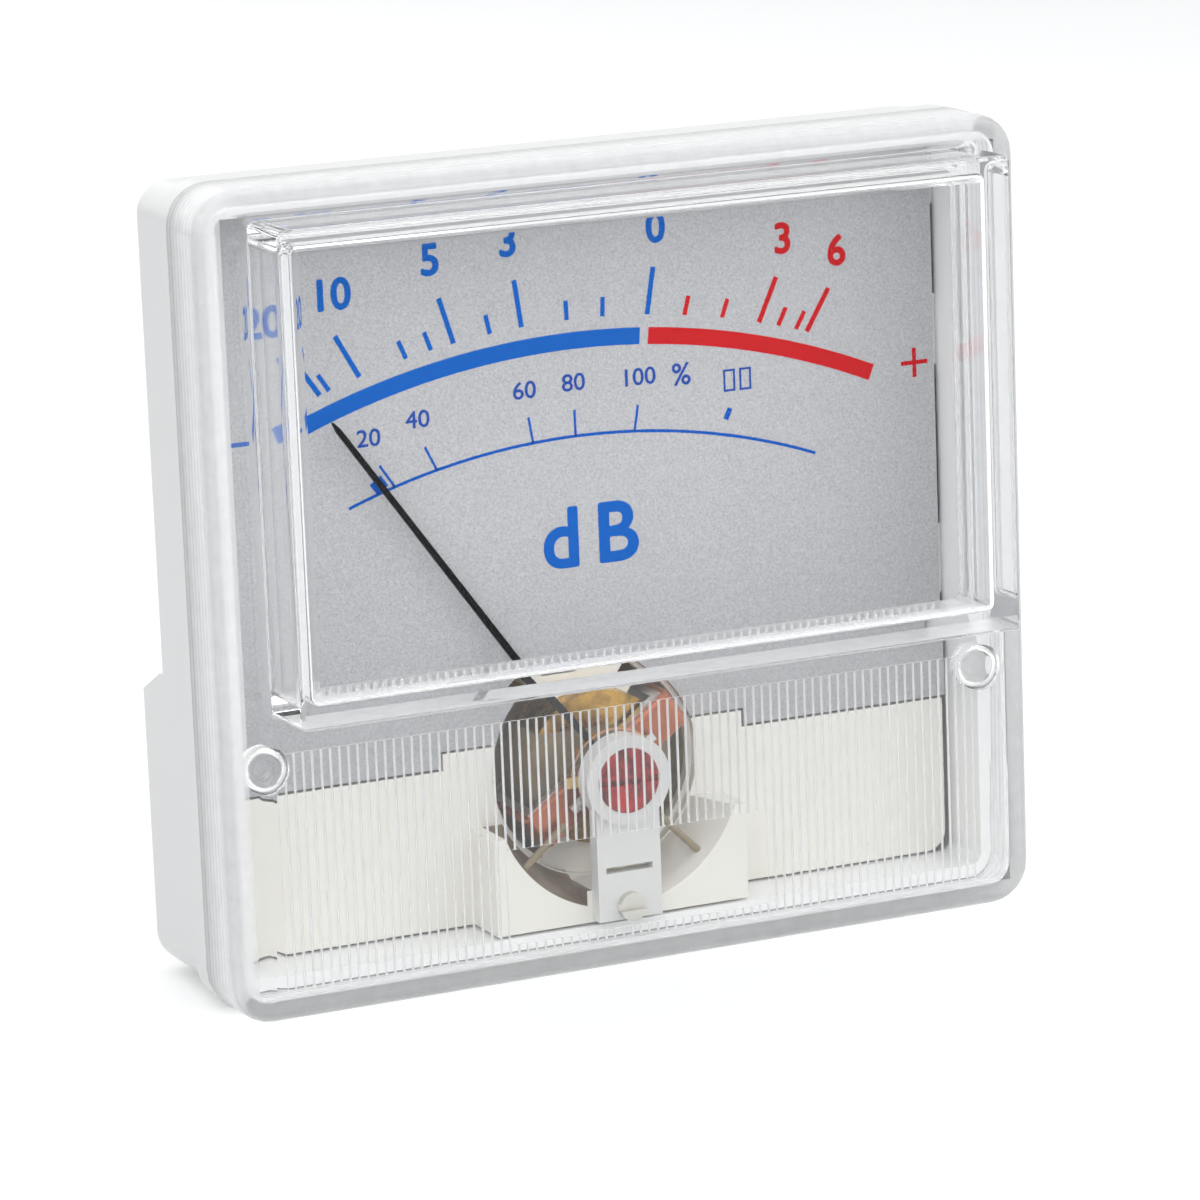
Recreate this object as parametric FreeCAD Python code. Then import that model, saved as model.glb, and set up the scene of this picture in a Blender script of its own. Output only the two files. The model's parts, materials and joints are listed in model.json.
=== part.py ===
import FreeCAD, Part
import math
import os
from FreeCAD import Vector

# A small moving-coil level meter for flush panel mounting.
# Every shape is drawn about the pivot axis, at the printed face of the dial: X to the right,
# Z up, and the front towards -Y. The file writer then stands the meter on Z = 0.

# Clear cover
cover_width = 48.0
cover_height = 44.6
pivot_height = 9.95
corner_radius = 2.3
edge_round = 0.8
cover_wall = 1.0
flange_front = -6.36
skirt_end = -2.2

# Raised window of the cover, which fills the panel cut-out
window_width = 42.4
window_bottom = 6.8
window_top = 33.0
window_rise = 4.5
window_edge_chamfer = 0.2

# Flutes that hide the movement, on the inner side of the cover
flute_pitch = 0.52
flute_height = 0.12
groove_width = 0.14
flute_side_margin = 3.1
flute_bottom = -8.4
flute_top = 4.5
bare_half_width = 7.8
bare_bottom = -7.9
bare_top = -2.6

# Locating studs inside the cover
stud_radius = 1.3
stud_side_offset = 2.7
stud_height = 3.7
stud_end = -3.5

# Rear case
case_wall = 1.0
case_inset = 0.5
case_band_end = -0.7
lip_thickness = 0.7
lip_front = -3.4
lip_gap = 0.1
case_back_upper = 4.0
case_back_lower = 7.2
shoulder_top = 7.4
shoulder_bottom = 5.8
pocket_radius = 9.6
case_edge_round = 0.6

# Dial plate
dial_thickness = 0.4
dial_gap = 0.3
dial_bottom = 1.0
dial_step_height = 1.95
dial_step_half_width = 9.2
arch_radius = 6.2
ledge_width = 1.6
ledge_length = 4.0

# Movement frame and magnet system
core_radius = 4.3
core_front = -0.7
core_back = 3.3
magnet_width = 4.6
yoke_inner = 6.0
yoke_outer = 7.5
yoke_front = 1.1
yoke_back = 4.6
frame_wall = 0.6
frame_front = 0.5
frame_back_front = 5.3
web_hole_radius = 5.95
web_inner_gap = 0.015
web_start_angle = -28.0
web_end_angle = 33.0
key_left = -1.8
key_right = 0.2
key_bottom = 4.75
foot_half_width = 7.6
foot_bottom = -8.0
foot_top = -2.6
foot_front = -3.2
cradle_radius = 6.3
cradle_mouth = 7.4
pillar_half_width = 2.2
pillar_top = -6.2
apron_thickness = 0.8
apron_half_width = 21.7
apron_gap = 0.15
fit_gap = 0.1

# Front bridge and bearings
bridge_thickness = 0.9
bridge_boss_radius = 2.5
bridge_boss_proud = 0.3
bridge_strap_width = 3.8
bridge_strap_bottom = -7.85
bridge_slot_width = 2.8
bridge_slot_height = 0.35
bridge_slot_z = -5.0
jewel_screw_radius = 1.8
jewel_screw_proud = 0.15
driver_slot_width = 0.4
driver_slot_depth = 0.35
jewel_radius = 0.6
jewel_length = 0.6
jewel_cup_depth = 0.3
pivot_tip_gap = 0.04
rear_jewel_screw_radius = 1.1
rear_boss_radius = 1.5
rear_boss_front = 4.95

# Moving coil
coil_core_gap = 0.3
former_thickness = 0.25
former_width = 2.4
former_flange = 0.12
winding_thickness = 0.6
winding_crown = 0.12
pivot_radius = 0.3
hub_radius = 0.9
hub_length = 0.35
cross_thickness = 0.25
cross_arm_width = 0.5
cross_side_length = 3.1
cross_tail_length = 4.5
cross_disc_radius = 1.2
weight_radius = 0.36
weight_length = 0.8
weight_inner = 1.9
collet_radius = 0.65

# Pointer
pointer_length = 25.6
pointer_width = 0.4
pointer_tip_width = 0.3
pointer_thickness = 0.22
pointer_dial_gap = 0.75
pointer_crank_start = 3.2
pointer_crank_end = 6.9
rest_angle = -35.3

# Hairsprings
spring_inner = 0.85
spring_pitch = 0.55
spring_half_turns = 7
spring_strip = 0.12
spring_height = 0.25
spring_clearance = 0.3

# Zero adjustment at the back
adjuster_drop = 6.0
adjuster_offset = 0.6
adjuster_radius = 1.3
adjuster_flange_radius = 1.75
adjuster_flange = 0.4
adjuster_proud = 0.3
eccentric_radius = 0.4
fork_gap = 0.1
regulator_thickness = 0.3
regulator_ring_radius = 2.7
regulator_arm_width = 2.2
running_gap = 0.06

# Terminals, screws and stops
terminal_spacing = 22.0
terminal_z = -5.0
terminal_width = 2.4
terminal_thickness = 0.5
terminal_length = 4.6
terminal_eye_radius = 0.6
terminal_plate = 3.6
terminal_inside = 1.2
screw_radius = 0.95
screw_head_radius = 1.8
screw_head_height = 0.9
screw_depth = 3.0
screw_x = 5.9
screw_z = -6.4
bridge_screw_radius = 0.5
bridge_screw_head = 0.8
bridge_screw_z = -7.1
stop_radius = 0.2
stop_reach = 3.9
stop_root = 8.0
travel_below_rest = 2.0
travel_above_rest = 78.0

# Levels along the pivot axis, worked out from the values above
cover_inner_face = flange_front + cover_wall
window_front = flange_front - window_rise
case_inner_lower = case_back_lower - case_wall
case_inner_upper = case_back_upper - case_wall
half_width = cover_width / 2
top = cover_height - pivot_height
bottom = -pivot_height
lip_half_width = half_width - cover_wall - lip_gap
dial_half_width = lip_half_width - lip_thickness - dial_gap
dial_top = top - cover_wall - lip_gap - lip_thickness - dial_gap
former_inner = core_radius + coil_core_gap
former_outer = former_inner + former_thickness
former_front = core_front - coil_core_gap - former_thickness
former_back = core_back + coil_core_gap + former_thickness
winding_outer = former_outer + winding_thickness
winding_front = former_front - winding_thickness
winding_back = former_back + winding_thickness
hub_front = winding_front - hub_length
cross_front = hub_front - cross_thickness
spring_front_y = cross_front - spring_clearance - spring_height
bridge_back = foot_front
bridge_front = bridge_back - bridge_thickness
boss_front = bridge_front - bridge_boss_proud
screw_front_y = boss_front - jewel_screw_proud
jewel_screw_back = bridge_back + 0.1
spring_back_y = winding_back + 0.05
spring_outer = spring_inner + spring_half_turns * spring_pitch / 2
adjuster_flange_front = case_inner_lower - adjuster_flange - 0.05
pointer_back = -pointer_dial_gap
depth_front = window_front
depth_back = case_back_lower + terminal_length
origin_shift = Vector(0, -(depth_front + depth_back) / 2, pivot_height)
y_axis = Vector(0, 1, 0)
centre = Vector(0, 0, 0)


def box(x0, x1, y0, y1, z0, z1):
    return Part.makeBox(x1 - x0, y1 - y0, z1 - z0, Vector(x0, y0, z0))


def disc(radius, y0, y1, x=0.0, z=0.0):
    return Part.makeCylinder(radius, y1 - y0, Vector(x, y0, z), y_axis)


def ring(outer, inner, y0, y1, x=0.0, z=0.0):
    return disc(outer, y0, y1, x, z).cut(disc(inner, y0 - 1, y1 + 1, x, z))


def cone(r0, r1, y0, y1, x=0.0, z=0.0):
    return Part.makeCone(r0, r1, y1 - y0, Vector(x, y0, z), y_axis)


def prism(points, y0, y1):
    """Straight-sided outline in X and Z, drawn out along Y."""
    loop = [Vector(x, y0, z) for x, z in points]
    wire = Part.makePolygon(loop + loop[:1])
    return Part.Face(wire).extrude(Vector(0, y1 - y0, 0))


def side_prism(points, x0, x1):
    """Straight-sided outline in Y and Z, drawn out along X."""
    loop = [Vector(x0, y, z) for y, z in points]
    wire = Part.makePolygon(loop + loop[:1])
    return Part.Face(wire).extrude(Vector(x1 - x0, 0, 0))


def rounded_block(half, low, high, radius, y0, y1):
    """Rectangle with round corners in X and Z, drawn out along Y."""
    block = box(-half, half, y0, y1, low, high)
    corners = [e for e in block.Edges if abs(e.tangentAt(e.FirstParameter).y) > 0.9]
    return block.makeFillet(radius, corners)


def edges_at(shape, y):
    """Edges that lie wholly at one level of Y."""
    found = []
    for edge in shape.Edges:
        if abs(edge.BoundBox.YMin - y) < 1e-4 and abs(edge.BoundBox.YMax - y) < 1e-4:
            found.append(edge)
    return found


def sector(inner, outer, start, end, y0, y1):
    """Piece of a ring between two angles, counted clockwise from straight up."""
    def at(radius, angle):
        turn = math.radians(angle)
        return Vector(radius * math.sin(turn), y0, radius * math.cos(turn))
    middle = (start + end) / 2
    edges = [
        Part.Arc(at(outer, start), at(outer, middle), at(outer, end)).toShape(),
        Part.makeLine(at(outer, end), at(inner, end)),
        Part.Arc(at(inner, end), at(inner, middle), at(inner, start)).toShape(),
        Part.makeLine(at(inner, start), at(outer, start)),
    ]
    return Part.Face(Part.Wire(edges)).extrude(Vector(0, y1 - y0, 0))


def turned(shape, angle):
    """A copy turned about the pivot axis, clockwise as seen from the front."""
    copy = shape.copy()
    copy.rotate(centre, y_axis, angle)
    return copy


def write(name, *solids):
    whole = solids[0] if len(solids) == 1 else Part.makeCompound(list(solids))
    whole = whole.copy()
    whole.translate(origin_shift)
    whole.exportStep("parts/" + name + ".step")
    print(name, len(whole.Solids), round(whole.Volume, 3), whole.isValid())


def flutes():
    """Flat ribs with narrow grooves between them, standing on the inner face of the cover."""
    half = half_width - flute_side_margin
    count = int(2 * half / flute_pitch)
    start = -count * flute_pitch / 2
    root = cover_inner_face - cover_wall / 4
    crest = cover_inner_face + flute_height
    outline = [Vector(start, root, flute_bottom), Vector(start, cover_inner_face, flute_bottom)]
    for i in range(count):
        left = start + i * flute_pitch
        right = left + flute_pitch
        outline.append(Vector(left + groove_width / 2, crest, flute_bottom))
        outline.append(Vector(right - groove_width / 2, crest, flute_bottom))
        outline.append(Vector(right, cover_inner_face, flute_bottom))
    outline.append(Vector(-start, root, flute_bottom))
    wire = Part.makePolygon(outline + outline[:1])
    sheet = Part.Face(wire).extrude(Vector(0, 0, flute_top - flute_bottom))
    bare = box(-bare_half_width, bare_half_width, root - 1, 0, bare_bottom, bare_top)
    return sheet.cut(bare)


def front_cover():
    shell = rounded_block(half_width, bottom, top, corner_radius, flange_front, skirt_end)
    shell = shell.makeFillet(edge_round, edges_at(shell, flange_front))
    half = window_width / 2
    window = box(-half, half, window_front, flange_front + 0.5, window_bottom, window_top)
    window = window.makeChamfer(window_edge_chamfer, edges_at(window, window_front))
    shell = shell.fuse(window).removeSplitter()
    inner = rounded_block(half_width - cover_wall, bottom + cover_wall, top - cover_wall,
                          corner_radius - cover_wall, cover_inner_face, skirt_end + 1)
    shell = shell.cut(inner)
    room = box(-half + cover_wall, half - cover_wall, window_front + cover_wall,
               cover_inner_face + 1, window_bottom + cover_wall, window_top - cover_wall)
    shell = shell.cut(room)
    shell = shell.fuse(flutes())
    for side in (-1, 1):
        x = side * (half_width - stud_side_offset)
        stud = disc(stud_radius, cover_inner_face - 0.1, stud_end - stud_radius / 2, x, stud_height)
        stud = stud.fuse(cone(stud_radius, stud_radius / 2, stud_end - stud_radius / 2, stud_end,
                              x, stud_height))
        shell = shell.fuse(stud)
    return shell


def case_outline(inset, wall):
    """Outer or inner form of the rear tub, with its deeper lower part and round pocket."""
    half = half_width - inset
    low = bottom + inset
    high = top - inset
    radius = max(corner_radius - inset, 0.4)
    upper = rounded_block(half, low, high, radius, case_band_end - 3, case_back_upper - wall)
    deep = rounded_block(half, low, high, radius, case_band_end - 3, case_back_lower - wall)
    pocket = disc(pocket_radius - wall, case_band_end - 3, case_back_lower - wall)
    if wall == 0:
        upper = upper.makeFillet(case_edge_round, edges_at(upper, case_back_upper))
        deep = deep.makeFillet(case_edge_round, edges_at(deep, case_back_lower))
        pocket = pocket.makeFillet(case_edge_round, edges_at(pocket, case_back_lower))
    drop = wall * 0.6
    keep = side_prism([
        (case_band_end - 4, low - 1),
        (case_back_lower, low - 1),
        (case_back_lower, shoulder_bottom - drop),
        (case_back_upper - wall, shoulder_top - drop),
        (case_band_end - 4, shoulder_top - drop),
    ], -half - 1, half + 1)
    return upper.fuse([deep.common(keep), pocket])


def rear_case():
    tub = case_outline(case_inset, 0).common(
        box(-half_width, half_width, case_band_end, case_back_lower + 1, bottom, top))
    band = rounded_block(half_width, bottom, top, corner_radius, skirt_end, case_band_end)
    lip = rounded_block(lip_half_width, bottom + cover_wall + lip_gap, top - cover_wall - lip_gap,
                        corner_radius - cover_wall, lip_front, skirt_end)
    case = tub.fuse([band, lip])
    hollow = case_outline(case_inset + case_wall, case_wall).common(
        box(-half_width, half_width, dial_thickness, case_back_lower, bottom, top))
    mouth = rounded_block(lip_half_width - lip_thickness, bottom + cover_wall + lip_gap + lip_thickness,
                          top - cover_wall - lip_gap - lip_thickness, 0.6, lip_front - 1,
                          dial_thickness + 0.01)
    case = case.cut(hollow.fuse(mouth))
    for ledge in dial_ledges():
        case = case.fuse(ledge)
    case = case.cut(disc(adjuster_radius + running_gap, case_inner_lower - 1, case_back_lower + 1,
                         0, -adjuster_drop))
    for side in (-1, 1):
        case = case.cut(disc(screw_radius + fit_gap, case_inner_lower - 1, case_back_lower + 1,
                             side * screw_x, screw_z))
        x = side * terminal_spacing / 2
        slot = box(x - terminal_width / 2 - 0.03, x + terminal_width / 2 + 0.03, case_inner_lower - 1,
                   case_back_lower + 1, terminal_z - terminal_thickness / 2 - 0.03,
                   terminal_z + terminal_thickness / 2 + 0.03)
        case = case.cut(slot)
    return case


def dial_ledges():
    """Pads on the walls of the tub that the dial plate lies on."""
    wall_x = half_width - case_inset - case_wall
    wall_top = top - case_inset - case_wall
    pads = []
    for side in (-1, 1):
        for z in (window_bottom, (window_bottom + window_top) / 2, window_top - ledge_length):
            x0 = side * wall_x
            x1 = side * (wall_x - ledge_width)
            pads.append(box(min(x0, x1), max(x0, x1) + 0.0, dial_thickness, case_inner_upper, z,
                            z + ledge_length))
        x = side * dial_half_width / 2
        pads.append(box(x - ledge_length / 2, x + ledge_length / 2, dial_thickness, case_inner_upper,
                        wall_top - ledge_width, wall_top))
    return pads


def dial_plate():
    step = dial_step_half_width
    plate = prism([
        (-dial_half_width, dial_bottom), (-step, dial_bottom), (-step, dial_step_height),
        (step, dial_step_height), (step, dial_bottom), (dial_half_width, dial_bottom),
        (dial_half_width, dial_top), (-dial_half_width, dial_top),
    ], 0, dial_thickness)
    corners = [e for e in plate.Edges if abs(e.tangentAt(e.FirstParameter).y) > 0.9
               and e.BoundBox.ZMin > dial_top - 0.1]
    plate = plate.makeFillet(0.6, corners)
    return plate.cut(disc(arch_radius, -1, 1))


def movement_frame():
    wall_radius = yoke_outer + fit_gap + frame_wall
    cup = ring(wall_radius, yoke_outer + fit_gap, frame_front, frame_back_front)
    front_web = ring(wall_radius, web_hole_radius, frame_front, yoke_front)
    back = disc(wall_radius, frame_back_front, case_inner_lower)
    foot = box(-foot_half_width, foot_half_width, foot_front, case_inner_lower, foot_bottom, foot_top)
    foot = foot.cut(cone(cradle_mouth, cradle_radius, foot_front, 0))
    foot = foot.cut(disc(cradle_radius, foot_front, frame_front))
    foot = foot.fuse(box(-pillar_half_width, pillar_half_width, foot_front, 0, foot_bottom, pillar_top))
    foot = foot.cut(disc(yoke_outer + fit_gap, yoke_front, frame_back_front))
    foot = foot.cut(disc(web_hole_radius, frame_front - 0.5, yoke_front + 0.5))
    frame = cup.fuse([front_web, back, foot, apron()])
    for start in (web_start_angle, web_start_angle + 180):
        end = start + web_end_angle - web_start_angle
        web = sector(core_radius + web_inner_gap, yoke_inner - fit_gap, start, end, frame_front,
                     core_back)
        bridge = sector(core_radius + web_inner_gap, yoke_outer, start, end, frame_front, yoke_front)
        frame = frame.fuse([web, bridge])
    frame = frame.cut(yoke_key(fit_gap / 2))
    boss = disc(rear_boss_radius, rear_boss_front, case_inner_lower)
    frame = frame.fuse(boss)
    frame = frame.cut(disc(rear_jewel_screw_radius + 0.02, rear_boss_front - 1, case_inner_lower + 1))
    channel = box(-regulator_arm_width / 2 - 1.2, regulator_arm_width / 2 + 1.2, yoke_back + fit_gap,
                  frame_back_front, -adjuster_drop - 1.6, 0)
    frame = frame.cut(channel.cut(disc(rear_boss_radius, rear_boss_front, case_inner_lower)))
    frame = frame.cut(disc(adjuster_flange_radius + 0.1, adjuster_flange_front - 0.05,
                           case_inner_lower + 1, 0, -adjuster_drop))
    frame = frame.cut(disc(adjuster_offset + eccentric_radius + 0.3, frame_back_front - 0.5,
                           case_inner_lower + 1, 0, -adjuster_drop))
    for side in (-1, 1):
        frame = frame.cut(disc(screw_radius + 0.02, case_inner_lower - screw_depth - 0.1,
                               case_inner_lower + 1, side * screw_x, screw_z))
    frame = frame.cut(disc(bridge_screw_radius + 0.02, foot_front - 1, foot_front + 2.2, 0,
                           bridge_screw_z))
    for pin in stop_pins():
        frame = frame.cut(pin)
    return frame


def apron():
    """Wide front plate of the frame, under the dial's bottom edge, with the same round opening."""
    low = dial_bottom - apron_gap
    high = dial_step_height - apron_gap
    step = dial_step_half_width - apron_gap
    half = apron_half_width
    plate = prism([
        (-half, foot_bottom), (half, foot_bottom), (half, low), (step, low), (step, high),
        (-step, high), (-step, low), (-half, low),
    ], 0, apron_thickness)
    corners = [e for e in plate.Edges if abs(e.tangentAt(e.FirstParameter).y) > 0.9
               and e.BoundBox.ZMax < foot_bottom + 0.1]
    plate = plate.makeFillet(1.2, corners)
    return plate.cut(disc(arch_radius, -1, apron_thickness + 1))


def yoke_key(gap):
    """Lug on the return ring that sits in a notch of the frame and keeps the ring from turning."""
    return box(key_left - gap, key_right + gap, frame_front - gap, yoke_back, key_bottom - gap,
               (yoke_inner + yoke_outer) / 2)


def yoke_ring():
    ring_body = ring(yoke_outer, yoke_inner, yoke_front, yoke_back)
    return ring_body.fuse(yoke_key(0))


def front_bridge():
    boss = disc(bridge_boss_radius, boss_front, bridge_back)
    half = bridge_strap_width / 2
    strap = box(-half, half, bridge_front, bridge_back, bridge_strap_bottom, 0)
    bridge = boss.fuse(strap)
    bridge = bridge.cut(disc(jewel_screw_radius + 0.02, boss_front - 1, bridge_back + 1))
    slot = box(-bridge_slot_width / 2, bridge_slot_width / 2, bridge_front - 1, bridge_back + 1,
               bridge_slot_z - bridge_slot_height / 2, bridge_slot_z + bridge_slot_height / 2)
    bridge = bridge.cut(slot)
    return bridge.cut(disc(bridge_screw_radius + 0.05, bridge_front - 1, bridge_back + 1, 0,
                           bridge_screw_z))


def slotted(screw, face_y, towards, x=0.0, z=0.0, length=6.0):
    """Cut a driver slot into a screw's face; towards is +1 or -1, the way the slot goes in."""
    y0 = min(face_y, face_y + towards * driver_slot_depth)
    y1 = max(face_y, face_y + towards * driver_slot_depth)
    pad0 = 0.5 if towards > 0 else 0.0
    pad1 = 0.5 if towards < 0 else 0.0
    return screw.cut(box(x - length / 2, x + length / 2, y0 - pad0, y1 + pad1,
                         z - driver_slot_width / 2, z + driver_slot_width / 2))


def jewel(back_y, towards):
    """Cup bearing: towards is +1 where the cup opens towards +Y."""
    y0 = back_y if towards > 0 else back_y - jewel_length
    stone = disc(jewel_radius, y0, y0 + jewel_length)
    if towards > 0:
        cup = cone(0.05, pivot_radius + 0.1, y0 + jewel_length - jewel_cup_depth, y0 + jewel_length + 0.001)
    else:
        cup = cone(pivot_radius + 0.1, 0.05, y0 - 0.001, y0 + jewel_cup_depth)
    return stone.cut(cup)


def jewel_screw_front():
    body = disc(jewel_screw_radius, screw_front_y, jewel_screw_back)
    body = body.makeChamfer(0.12, edges_at(body, screw_front_y))
    body = body.cut(disc(jewel_radius + 0.01, jewel_screw_back - jewel_length, jewel_screw_back + 1))
    return slotted(body, screw_front_y, 1)


def jewel_screw_rear():
    front = rear_boss_front + 0.1
    body = disc(rear_jewel_screw_radius, front, case_inner_lower)
    body = body.cut(disc(jewel_radius + 0.01, front - 1, front + jewel_length))
    return slotted(body, case_inner_lower, -1)


def pivot(tip_y, root_y):
    """Hardened steel pivot with a conical tip, from the hub face to the jewel."""
    way = 1 if tip_y > root_y else -1
    shoulder = tip_y - way * 0.45
    low = min(shoulder, root_y)
    shaft = disc(pivot_radius, low, max(shoulder, root_y))
    if way > 0:
        return shaft.fuse(cone(pivot_radius, 0.03, shoulder, tip_y))
    return shaft.fuse(cone(0.03, pivot_radius, tip_y, shoulder))


def core_solids():
    cylinder = disc(core_radius, core_front, core_back)
    half = magnet_width / 2
    slab = box(-core_radius - 1, core_radius + 1, core_front - 1, core_back + 1, -half, half)
    magnet = cylinder.common(slab)
    sides = cylinder.cut(slab)
    return magnet, sides.Solids


def coil_former():
    half = former_width / 2
    body = box(-former_outer, former_outer, former_front, former_back, -half, half)
    body = body.cut(box(-former_inner, former_inner, former_front + former_thickness,
                        former_back - former_thickness, -half - 1, half + 1))
    for z in (-half, half - former_flange):
        rim = box(-former_outer - 0.2, former_outer + 0.2, former_front - 0.2, former_back + 0.2, z,
                  z + former_flange)
        rim = rim.cut(box(-former_outer + 0.01, former_outer - 0.01, former_front + 0.01,
                          former_back - 0.01, z - 1, z + 1))
        body = body.fuse(rim)
    return body


def coil_winding():
    """The wire bundle: a closed rectangular band with rounded corners and a crowned outside."""
    half = former_width / 2 - former_flange
    outer = box(-winding_outer, winding_outer, winding_front, winding_back, -half, half)
    corners = [e for e in outer.Edges if abs(e.tangentAt(e.FirstParameter).z) > 0.9]
    outer = outer.makeFillet(winding_thickness, corners)
    rims = [e for e in outer.Edges if abs(e.BoundBox.ZMax - e.BoundBox.ZMin) < 1e-4]
    outer = outer.makeChamfer(winding_crown, rims)
    return outer.cut(box(-former_outer, former_outer, former_front, former_back, -half - 1, half + 1))


def pointer():
    """Folded strip: flat at the hub, cranked back past the coil, then flat above the dial."""
    y_hub = cross_front
    t = pointer_thickness
    y_dial = pointer_back
    outline = [
        (y_hub, cross_disc_radius - 0.2), (y_hub, pointer_crank_start),
        (y_dial, pointer_crank_end), (y_dial, pointer_length),
        (y_dial - t, pointer_length), (y_dial - t, pointer_crank_end + 0.1),
        (y_hub - t, pointer_crank_start + 0.1), (y_hub - t, cross_disc_radius - 0.2),
    ]
    strip = side_prism(outline, -pointer_width / 2, pointer_width / 2)
    taper = prism([
        (-pointer_width / 2, 0), (pointer_width / 2, 0), (pointer_width / 2, pointer_crank_end),
        (pointer_tip_width / 2, pointer_length - 0.6), (0.04, pointer_length),
        (-0.04, pointer_length), (-pointer_tip_width / 2, pointer_length - 0.6),
        (-pointer_width / 2, pointer_crank_end),
    ], y_hub - 1, 0)
    return strip.common(taper)


def balance_cross():
    body = disc(cross_disc_radius, cross_front, hub_front)
    half = cross_arm_width / 2
    tail = box(-half, half, cross_front, hub_front, -cross_tail_length, 0)
    sides = box(-cross_side_length, cross_side_length, cross_front, hub_front, -half, half)
    body = body.fuse([tail, sides])
    return body.cut(disc(pivot_radius, cross_front - 1, hub_front + 1))


def balance_weights():
    """Solder slugs closed round the two side arms and the tail."""
    middle = (cross_front + hub_front) / 2
    slugs = []
    for way in (Vector(1, 0, 0), Vector(-1, 0, 0), Vector(0, 0, -1)):
        start = way * weight_inner
        start.y = middle
        slug = Part.makeCylinder(weight_radius, weight_length, start, way)
        half = cross_arm_width / 2
        arm = box(-cross_side_length - 1, cross_side_length + 1, cross_front, hub_front, -half, half)
        if way.z:
            arm = box(-half, half, cross_front, hub_front, -cross_tail_length - 1, 0)
        slugs.append(slug.cut(arm))
    return slugs


def hub(y0, y1, radius):
    return disc(radius, y0, y1).cut(disc(pivot_radius, y0 - 1, y1 + 1))


def hairspring(y0):
    """Flat spiral strip: half turns on centres that step from side to side."""
    half = spring_strip / 2
    step = spring_pitch / 2
    outer_edges = []
    inner_edges = []
    side = 1
    radius = spring_inner
    for i in range(spring_half_turns):
        start = side * radius
        end = -side * (radius + step)
        middle = (start + end) / 2
        reach = abs(start - end) / 2
        for edges, r in ((outer_edges, reach + half), (inner_edges, reach - half)):
            a = Vector(middle + side * r, y0, 0)
            b = Vector(middle, y0, side * r)
            c = Vector(middle - side * r, y0, 0)
            edges.append(Part.Arc(a, b, c).toShape())
        radius += step
        side = -side
    first_outer = outer_edges[0].firstVertex().Point
    first_inner = inner_edges[0].firstVertex().Point
    last_outer = outer_edges[-1].lastVertex().Point
    last_inner = inner_edges[-1].lastVertex().Point
    edges = outer_edges + inner_edges
    edges.append(Part.makeLine(first_outer, first_inner))
    edges.append(Part.makeLine(last_outer, last_inner))
    wire = Part.Wire(Part.__sortEdges__(edges))
    return Part.Face(wire).extrude(Vector(0, spring_height, 0))


def spring_gap():
    """Least gap between neighbouring turns, measured on points of the spiral."""
    points = []
    side = 1
    radius = spring_inner
    step = spring_pitch / 2
    for i in range(spring_half_turns):
        start = side * radius
        end = -side * (radius + step)
        middle = (start + end) / 2
        reach = abs(start - end) / 2
        for k in range(24):
            turn = math.pi * k / 24
            points.append((i + k / 24, middle + side * reach * math.cos(turn), side * reach * math.sin(turn)))
        radius += step
        side = -side
    least = 1e9
    for i, a in enumerate(points):
        for b in points[i + 1:]:
            if b[0] - a[0] > 1.0:
                least = min(least, math.hypot(a[1] - b[1], a[2] - b[2]) - spring_strip)
    return least


def spring_stud(y0, y1):
    """Post that the outer end of a hairspring is held in."""
    x = -spring_outer if spring_half_turns % 2 else spring_outer
    return box(x - 0.55, x - spring_strip / 2, y0, y1, -0.3, 0.3)


def zero_regulator():
    y1 = frame_back_front - 0.05
    y0 = y1 - regulator_thickness
    body = ring(regulator_ring_radius, rear_boss_radius + running_gap, y0, y1)
    half = regulator_arm_width / 2
    arm = box(-half, half, y0, y1, -adjuster_drop + 0.1 - eccentric_radius, -rear_boss_radius - 0.5)
    fork = box(-eccentric_radius - fork_gap, eccentric_radius + fork_gap, y0 - 1, y1 + 1,
               -adjuster_drop - 2, -adjuster_drop + adjuster_offset + eccentric_radius + 0.2)
    body = body.fuse(arm).cut(fork)
    lug_x = -spring_outer if spring_half_turns % 2 else spring_outer
    lug = box(lug_x - 0.7, -rear_boss_radius - 0.4, y0, y1, -0.5, 0.5)
    return body.fuse([lug, spring_stud(spring_back_y, y0)])


def zero_adjuster():
    z = -adjuster_drop
    flange_back = adjuster_flange_front + adjuster_flange
    body = disc(adjuster_radius, flange_back, case_back_lower + adjuster_proud, 0, z)
    flange = disc(adjuster_flange_radius, adjuster_flange_front, flange_back, 0, z)
    pin = disc(eccentric_radius, frame_back_front - 0.45, adjuster_flange_front, 0, z + adjuster_offset)
    body = body.fuse([flange, pin])
    return slotted(body, case_back_lower + adjuster_proud, -1, 0, z, 2.2)


def terminal(side):
    x = side * terminal_spacing / 2
    half = terminal_width / 2
    t = terminal_thickness / 2
    tab = box(x - half, x + half, case_inner_lower - terminal_inside, case_back_lower + terminal_length,
              terminal_z - t, terminal_z + t)
    eye = Part.makeCylinder(terminal_eye_radius, 2, Vector(x, case_back_lower + terminal_length - 1.3,
                                                          terminal_z - 1))
    tab = tab.cut(eye)
    plate = disc(terminal_plate / 2, case_back_lower, case_back_lower + 0.4, x, terminal_z)
    return tab.fuse(plate)


def movement_screw(side):
    x = side * screw_x
    shaft = disc(screw_radius, case_inner_lower - screw_depth, case_back_lower, x, screw_z)
    head = disc(screw_head_radius, case_back_lower, case_back_lower + screw_head_height, x, screw_z)
    head = head.makeChamfer(0.25, edges_at(head, case_back_lower + screw_head_height))
    return slotted(shaft.fuse(head), case_back_lower + screw_head_height, -1, x, screw_z)


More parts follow.
